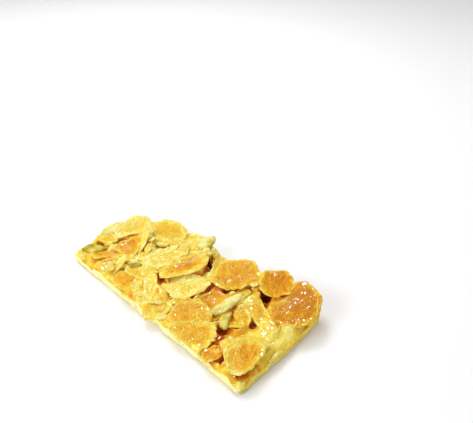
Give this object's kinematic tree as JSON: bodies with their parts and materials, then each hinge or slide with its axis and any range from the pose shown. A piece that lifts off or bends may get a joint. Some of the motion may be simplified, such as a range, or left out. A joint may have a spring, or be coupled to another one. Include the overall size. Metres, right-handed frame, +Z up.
{
  "type": "almond florentine",
  "caption": "Cut bar of flaked almonds and pumpkin seeds bound in amber caramel, flat underneath, one corner broken off.",
  "frame": {"origin": "centre of the plan box on the plane that the flat underside rests on", "axes": "+X along the long side towards the whole short end, +Y across the bar towards the side with the broken corner, +Z up out of the nutty face"},
  "size_m": [0.0956, 0.0488, 0.0104],
  "materials": {
    "almond_caramel": "glossy caramel over pale toasted almond slices"
  },
  "bodies": {
    "root": {"florentine": "almond_caramel"}
  },
  "joints": []
}
